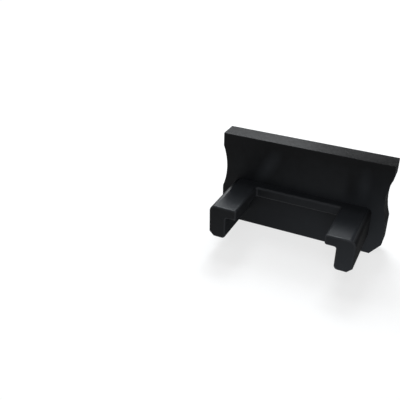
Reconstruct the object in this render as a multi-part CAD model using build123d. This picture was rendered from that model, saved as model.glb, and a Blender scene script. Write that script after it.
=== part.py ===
from build123d import *
import os

# Push-in end cap for a slim channel profile, in millimetres.
# +X runs across the plate, +Y from its back face towards the prong tips, +Z up.
# The origin is the middle of the lower edge of the back face, which seats on the profile.

# Faceplate: the part that stays visible on the cut end of the profile.
plate_width = 16.0
plate_height = 9.25
plate_thickness = 2.05
face_edge_radius = 0.2
shoulder_height = 1.3
waist_height = 4.4
waist_depth = 0.4
corner_cut_width = 0.95
corner_cut_height = 1.2

# Prongs: mirrored arms that slide into the hollow of the profile.
prong_span = 13.35
prong_length = 5.95
prong_top = 4.75
prong_bottom = 1.5
leg_thickness = 1.6
flange_gap = 8.1
flange_thickness = 1.0
shoulder_radius = 0.6
foot_radius = 0.35
notch_radius = 0.2
foot_cut = 0.45
tip_radius = 0.15

# Ledge: the short shelf on the back of the plate that joins the flanges.
ledge_depth = 1.0
ledge_corner_radius = 0.2
rim_radius = 0.2

half_width = plate_width / 2
waist_top = plate_height - shoulder_height
waist_bottom = waist_top - waist_height
waist_middle = (waist_top + waist_bottom) / 2
leg_outside = prong_span / 2
leg_inside = leg_outside - leg_thickness
flange_edge = flange_gap / 2
flange_bottom = prong_top - flange_thickness
near = 0.001

with BuildPart() as end_cap:
    # Faceplate outline: straight shoulders, a hollow arc down each side, cut lower corners.
    with BuildSketch(Plane.XZ):
        with BuildLine():
            Polyline(
                (0, 0),
                (half_width - corner_cut_width, 0),
                (half_width, corner_cut_height),
                (half_width, waist_bottom),
            )
            ThreePointArc(
                (half_width, waist_bottom),
                (half_width - waist_depth, waist_middle),
                (half_width, waist_top),
            )
            Polyline(
                (half_width, waist_top),
                (half_width, plate_height),
                (0, plate_height),
            )
            mirror(about=Plane.YZ)
        make_face()
    extrude(amount=plate_thickness)
    # The visible face is softened all the way round; the back edges stay sharp.
    visible_face = end_cap.faces().sort_by(Axis.Y)[0]
    fillet(visible_face.edges(), face_edge_radius)

    # Prong section: a leg under the outer end of a flange. The leg's outer shoulder and
    # inner foot are round, and its outer foot is cut off at 45 degrees to find its way in.
    with BuildSketch(Plane.XZ) as section:
        with BuildLine():
            Polyline(
                (flange_edge, prong_top),
                (leg_outside, prong_top),
                (leg_outside, prong_bottom + foot_cut),
                (leg_outside - foot_cut, prong_bottom),
                (leg_inside, prong_bottom),
                (leg_inside, flange_bottom),
                (flange_edge, flange_bottom),
                close=True,
            )
        make_face()
        rounded_corners = (
            ((leg_outside, prong_top), shoulder_radius),
            ((leg_inside, prong_bottom), foot_radius),
            ((leg_inside, flange_bottom), notch_radius),
        )
        for corner, radius in rounded_corners:
            fillet(section.vertices().sort_by_distance(corner)[0], radius)
        mirror(about=Plane.YZ)
    extrude(amount=-prong_length)

    # The ledge is as thick as the flanges and runs from one to the other.
    with BuildSketch(Plane.XZ):
        with Locations((0, prong_top - flange_thickness / 2)):
            Rectangle(flange_gap, flange_thickness)
    extrude(amount=-ledge_depth)

    # Inside corners where the ledge runs into the flanges.
    inside_corners = (
        end_cap.edges()
        .filter_by(Axis.Z)
        .filter_by_position(Axis.Y, ledge_depth - near, ledge_depth + near)
    )
    fillet(inside_corners, ledge_corner_radius)

    # Upper and lower rims of the opening between the flanges, from tip to tip.
    rims = (
        end_cap.edges()
        .filter_by(Axis.Z, reverse=True)
        .filter_by_position(Axis.X, -flange_edge - near, flange_edge + near)
        .filter_by_position(Axis.Y, ledge_depth - near, prong_length - near)
    )
    fillet(rims, rim_radius)

    # Lead-in rounding round the end of each prong.
    tips = end_cap.faces().sort_by(Axis.Y)[-2:]
    fillet(tips.edges(), tip_radius)

os.makedirs("parts", exist_ok=True)
export_step(end_cap.part, "parts/end_cap.step")
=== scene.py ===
import bpy
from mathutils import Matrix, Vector


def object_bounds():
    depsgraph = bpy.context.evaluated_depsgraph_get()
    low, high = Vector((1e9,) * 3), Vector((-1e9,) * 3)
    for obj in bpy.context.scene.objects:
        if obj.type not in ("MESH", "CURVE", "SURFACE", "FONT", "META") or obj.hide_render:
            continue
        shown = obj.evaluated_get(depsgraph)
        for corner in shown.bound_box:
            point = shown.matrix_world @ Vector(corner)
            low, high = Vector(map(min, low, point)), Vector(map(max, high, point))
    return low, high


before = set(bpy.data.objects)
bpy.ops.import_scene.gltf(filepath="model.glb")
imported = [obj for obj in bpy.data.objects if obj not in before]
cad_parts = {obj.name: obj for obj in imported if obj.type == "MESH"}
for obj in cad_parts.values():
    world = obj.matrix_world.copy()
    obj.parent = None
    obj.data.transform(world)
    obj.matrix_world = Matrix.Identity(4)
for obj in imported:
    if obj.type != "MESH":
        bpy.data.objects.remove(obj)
cad_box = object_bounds()


# End cap: the faceplate, its two prongs and the ledge between them are one injection moulding
# in black plastic. The mould's flat faces were polished and lightly grained, its side walls
# were left dull, and the prongs clip the end cap into the open end of a profile.
# Left and right are as seen from the front.
end_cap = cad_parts["end_cap"]
left_end, right_end = cad_box[0].x, cad_box[1].x
foot, head = cad_box[0].z, cad_box[1].z

# Deep black is the plastic's own colour. The paler black takes painted light and the plastic's
# random unevenness of tone, and the rubbed black and the grey are painted highlights along edges.
deep_black = (0.0005, 0.0007, 0.0011, 1)
painted_light_and_mottle_black = (0.0430, 0.0465, 0.0520, 1)
edge_sheen_black = (0.028, 0.029, 0.032, 1)
edge_highlight_grey = (0.105, 0.109, 0.118, 1)

black_plastic = bpy.data.materials.new("moulded_black_plastic")
black_plastic.use_nodes = True
nodes = black_plastic.node_tree.nodes
links = black_plastic.node_tree.links
nodes.clear()
surface = nodes.new("ShaderNodeBsdfPrincipled")
surface.inputs["Specular IOR Level"].default_value = 0.1
output = nodes.new("ShaderNodeOutputMaterial")
links.new(surface.outputs["BSDF"], output.inputs["Surface"])
place = nodes.new("ShaderNodeTexCoord")
facing = nodes.new("ShaderNodeSeparateXYZ")
links.new(place.outputs["Normal"], facing.inputs["Vector"])
spot = nodes.new("ShaderNodeSeparateXYZ")
links.new(place.outputs["Object"], spot.inputs["Vector"])


def cloudy(scale, detail):
    """An uneven pattern through the plastic, with this many patches to the metre."""
    pattern = nodes.new("ShaderNodeTexNoise")
    pattern.inputs["Scale"].default_value = scale
    pattern.inputs["Detail"].default_value = detail
    links.new(place.outputs["Object"], pattern.inputs["Vector"])
    return pattern.outputs["Fac"]


def between(value, value_from, value_to, low, high):
    """The value's own range turned into another range, and held at its ends."""
    scaled = nodes.new("ShaderNodeMapRange")
    scaled.inputs["From Min"].default_value = value_from
    scaled.inputs["From Max"].default_value = value_to
    scaled.inputs["To Min"].default_value = low
    scaled.inputs["To Max"].default_value = high
    links.new(value, scaled.inputs["Value"])
    return scaled.outputs["Result"]


def combine(operation, first, second=None):
    """One or two values worked on by a Math node."""
    worked = nodes.new("ShaderNodeMath")
    worked.operation = operation
    links.new(first, worked.inputs[0])
    if second:
        links.new(second, worked.inputs[1])
    return worked.outputs["Value"]


def blend_colours(amount, first, second):
    """One colour turned into another by an amount from 0 to 1."""
    blended = nodes.new("ShaderNodeMix")
    blended.data_type = "RGBA"
    links.new(amount, blended.inputs["Factor"])
    for colour, socket in ((first, blended.inputs["A"]), (second, blended.inputs["B"])):
        if isinstance(colour, tuple):
            socket.default_value = colour
        else:
            links.new(colour, socket)
    return blended.outputs["Result"]


# Faces told apart by the way they look: 1 on side walls and on tops, 0 on the others.
sideways = between(combine("ABSOLUTE", facing.outputs["X"]), 0.4, 0.8, 0, 1)
upward = between(facing.outputs["Z"], 0.9, 1, 0, 1)
to_front_or_back = combine("ABSOLUTE", facing.outputs["Y"])

# Colour: carbon black, with painted light. It is painted a shade paler towards the foot and the
# left end, as light from below and that side, and much less on the polished front. The side walls
# are painted paler towards the right end instead, which leaves painted shade at their left end.
down = between(spot.outputs["Z"], foot, head, 1, -0.06)
to_the_left = between(spot.outputs["X"], left_end, right_end, 1, 0.10)
to_the_right = between(spot.outputs["X"], left_end, right_end, 0.05, 0.85)
off_the_front = between(facing.outputs["Y"], -0.9, -0.3, 0.25, 1)
off_the_walls = between(sideways, 0, 1, 1, 0)
painted_light_on_faces = combine("MULTIPLY", combine("MULTIPLY", to_the_left, off_the_front), off_the_walls)
painted_light_on_walls = combine("MULTIPLY", to_the_right, sideways)
painted_light_gradient = combine("MULTIPLY", down, combine("ADD", painted_light_on_faces, painted_light_on_walls))

# Painted light: the upward faces are painted paler the lower they stand, the prongs' tops most and
# the top of the plate not at all. The painted gradient above is kept off them.
painted_light_on_tops = combine("MULTIPLY", upward, between(spot.outputs["Z"], foot, head, 0.85, 0))
painted_gradient_off_tops = combine("MULTIPLY", painted_light_gradient, between(upward, 0, 1, 1, 0))
# The random unevenness of tone is the plastic's own.
uneven = between(cloudy(900, 4), 0.3, 0.7, -0.03, 0.03)
painted_light_and_mottle = combine("ADD", painted_gradient_off_tops, combine("ADD", painted_light_on_tops, uneven))


def painted_reflection_streak(middle, lean, length, width, strength):
    """A painted reflection: a faint streak on the plate's back, leaning over from upright, where
    the prongs' tops would mirror. Below 0 it is a painted dark streak.
    """
    depth = 0.002
    laid = nodes.new("ShaderNodeMapping")
    laid.vector_type = "TEXTURE"
    laid.inputs["Location"].default_value = middle
    laid.inputs["Rotation"].default_value = (0, lean, 0)
    laid.inputs["Scale"].default_value = (width / 2, depth / 2, length / 2)
    links.new(place.outputs["Object"], laid.inputs["Vector"])
    reach = nodes.new("ShaderNodeVectorMath")
    reach.operation = "LENGTH"
    links.new(laid.outputs["Vector"], reach.inputs[0])
    return between(reach.outputs["Value"], 0, 1, strength, 0)


# Painted reflections on the plate's back: two pale streaks and one dark.
for reflection_streak in (painted_reflection_streak((0.0034, 0, 0.0066), lean=-0.49, length=0.0050, width=0.0018, strength=0.34),
             painted_reflection_streak((-0.0057, 0, 0.0069), lean=0, length=0.0040, width=0.0014, strength=0.22),
             painted_reflection_streak((-0.0045, 0, 0.0062), lean=0.12, length=0.0042, width=0.0014,
                       strength=-0.16)):
    painted_light_and_mottle = combine("ADD", painted_light_and_mottle, reflection_streak)
base_colour_with_painted_light = blend_colours(painted_light_and_mottle, deep_black, painted_light_and_mottle_black)

# Painted highlights: paler where an edge turns to the front or back, and a paler grey along the
# prongs' corners, where the edges catch light. The plate's own outline gets no painted grey.
painted_edge_sheen = combine("MULTIPLY", between(to_front_or_back, 0.10, 0.35, 0, 1),
                 between(to_front_or_back, 0.90, 0.99, 1, 0))
corner = nodes.new("ShaderNodeAmbientOcclusion")
corner.inside = True
corner.samples = 8
corner.inputs["Distance"].default_value = 0.00012
behind_plate = between(spot.outputs["Y"], 0.0002, 0.0008, 0, 1)
painted_edge_highlight = combine("MULTIPLY", between(corner.outputs["AO"], 0.55, 0.95, 1, 0), behind_plate)
base_colour_with_painted_light = blend_colours(painted_edge_sheen, base_colour_with_painted_light, edge_sheen_black)
base_colour_with_painted_light = blend_colours(painted_edge_highlight, base_colour_with_painted_light, edge_highlight_grey)
links.new(base_colour_with_painted_light, surface.inputs["Base Color"])

# Gloss: soft and cloudy on the tops, satin on the front and back, and dull on the side walls.
top = between(cloudy(350, 3), 0.3, 0.7, 0.22, 0.28)
face = between(to_front_or_back, 0.6, 0.95, 0, 0.24)
dull = between(sideways, 0, 1, 0, 0.70)
links.new(combine("ADD", combine("ADD", top, face), dull), surface.inputs["Roughness"])

# Grain: the fine texture of the mould.
grain = nodes.new("ShaderNodeBump")
grain.inputs["Strength"].default_value = 0.35
grain.inputs["Distance"].default_value = 0.00002
links.new(cloudy(10000, 2), grain.inputs["Height"])
links.new(grain.outputs["Normal"], surface.inputs["Normal"])

end_cap.data.materials.clear()
end_cap.data.materials.append(black_plastic)


# Floor: a sheet of white paper, big enough to reach the horizon, that the end cap stands on.
# It shows white to the camera and in the gloss, and keeps the end cap's shadow. More white is
# added further off, where the lamps reach less.
bpy.ops.object.select_all(action="DESELECT")
bpy.ops.mesh.primitive_plane_add(size=4, location=(0, 0, foot))
floor = bpy.context.object
floor.name = "floor"
near, far = 0.02, 0.20
white_near, white_far = 0.72, 0.94

white_paper = bpy.data.materials.new("white_paper")
white_paper.use_nodes = True
nodes = white_paper.node_tree.nodes
links = white_paper.node_tree.links
nodes.clear()


def shown():
    """1 for what the camera, a reflection or a clear part shows, 0 for light on other things."""
    ray = nodes.new("ShaderNodeLightPath")
    in_gloss = combine("MAXIMUM", ray.outputs["Is Camera Ray"], ray.outputs["Is Glossy Ray"])
    return combine("MAXIMUM", in_gloss, ray.outputs["Is Transmission Ray"])


lit_paper = nodes.new("ShaderNodeBsdfDiffuse")
lit_paper.inputs["Color"].default_value = (0.3, 0.3, 0.3, 1)
whitening = nodes.new("ShaderNodeEmission")
whitening.inputs["Color"].default_value = (1, 1, 1, 1)
on_floor = nodes.new("ShaderNodeTexCoord")
from_middle = nodes.new("ShaderNodeVectorMath")
from_middle.operation = "LENGTH"
links.new(on_floor.outputs["Object"], from_middle.inputs[0])
unlit = between(from_middle.outputs["Value"], near, far, white_near, white_far)
links.new(combine("MULTIPLY", shown(), unlit), whitening.inputs["Strength"])
paper = nodes.new("ShaderNodeAddShader")
links.new(lit_paper.outputs["BSDF"], paper.inputs[0])
links.new(whitening.outputs["Emission"], paper.inputs[1])
output = nodes.new("ShaderNodeOutputMaterial")
links.new(paper.outputs["Shader"], output.inputs["Surface"])
floor.data.materials.append(white_paper)


# Room: plain white walls all round, under a ceiling left dark so that the tops are not veiled.
# The walls show at full white, and light the end cap more weakly. The heights are the sines of
# 17 and 22 degrees above the horizon.
wall_top, ceiling_edge = 0.29, 0.38
ceiling_shade = 0.1
wall_light = 0.2

room = bpy.data.worlds.new("white_room")
bpy.context.scene.world = room
room.use_nodes = True
nodes = room.node_tree.nodes
links = room.node_tree.links
nodes.clear()
outlook = nodes.new("ShaderNodeTexCoord")
rise = nodes.new("ShaderNodeSeparateXYZ")
links.new(outlook.outputs["Object"], rise.inputs["Vector"])
white = between(rise.outputs["Z"], wall_top, ceiling_edge, 1, ceiling_shade)
walls = nodes.new("ShaderNodeBackground")
walls.inputs["Color"].default_value = (1, 1, 1, 1)
seen = combine("MULTIPLY", shown(), white)
lighting = between(shown(), 0, 1, wall_light, 0)
links.new(combine("ADD", seen, lighting), walls.inputs["Strength"])
output = nodes.new("ShaderNodeOutputWorld")
links.new(walls.outputs["Background"], output.inputs["Surface"])


# Lamps: soft boxes about 12 cm from the end cap, each turned to its middle. As the camera sees
# them, four stand behind and run light along the tops, one hangs overhead, and two in front
# fill the faces and draw the edges.
def softbox(name, stand, width, height, power):
    """A rectangular soft lamp, in metres and watts, that the camera does not see."""
    light = bpy.data.lights.new(name, "AREA")
    light.color = (0.93, 0.97, 1.0)
    light.shape = "RECTANGLE"
    light.size = width
    light.size_y = height
    light.energy = power
    lamp = bpy.data.objects.new(name, light)
    lamp.location = stand
    aim = (cad_box[0] + cad_box[1]) / 2 - Vector(stand)
    lamp.rotation_euler = aim.to_track_quat("-Z", "Y").to_euler()
    lamp.visible_camera = False
    bpy.context.scene.collection.objects.link(lamp)


softbox("back_left_softbox", (0.038, -0.07, 0.092), width=0.038, height=0.042, power=0.0696)
softbox("back_right_softbox", (0.015, -0.077, 0.094), width=0.029, height=0.027, power=0.0533)
softbox("back_fill_softbox", (0.039, -0.093, 0.066), width=0.034, height=0.021, power=0.007)
softbox("low_left_softbox", (0.066, -0.089, 0.046), width=0.019, height=0.038, power=0.0078)
softbox("overhead_softbox", (0.031, -0.035, 0.114), width=0.034, height=0.034, power=0.0358)
softbox("front_softbox", (-0.01, 0.061, 0.109), width=0.051, height=0.051, power=0.013)
softbox("low_front_softbox", (-0.032, 0.114, 0.034), width=0.051, height=0.038, power=0.0319)


# Camera: on the prongs' side of the faceplate, above it and nearer its left end, looking down
# at the whole end cap.
stand = (-0.01240, 0.04586, 0.03119)
aim = Vector((0.3866, -0.7713, -0.5056))

view = bpy.data.cameras.new("camera")
view.sensor_width = 36
view.lens = 51.24
view.clip_start = 0.001
view.clip_end = 10
camera = bpy.data.objects.new("camera", view)
camera.location = stand
camera.rotation_mode = "QUATERNION"
camera.rotation_quaternion = aim.to_track_quat("-Z", "Y")
bpy.context.scene.collection.objects.link(camera)
bpy.context.scene.camera = camera
bpy.context.scene.view_settings.view_transform = "Standard"
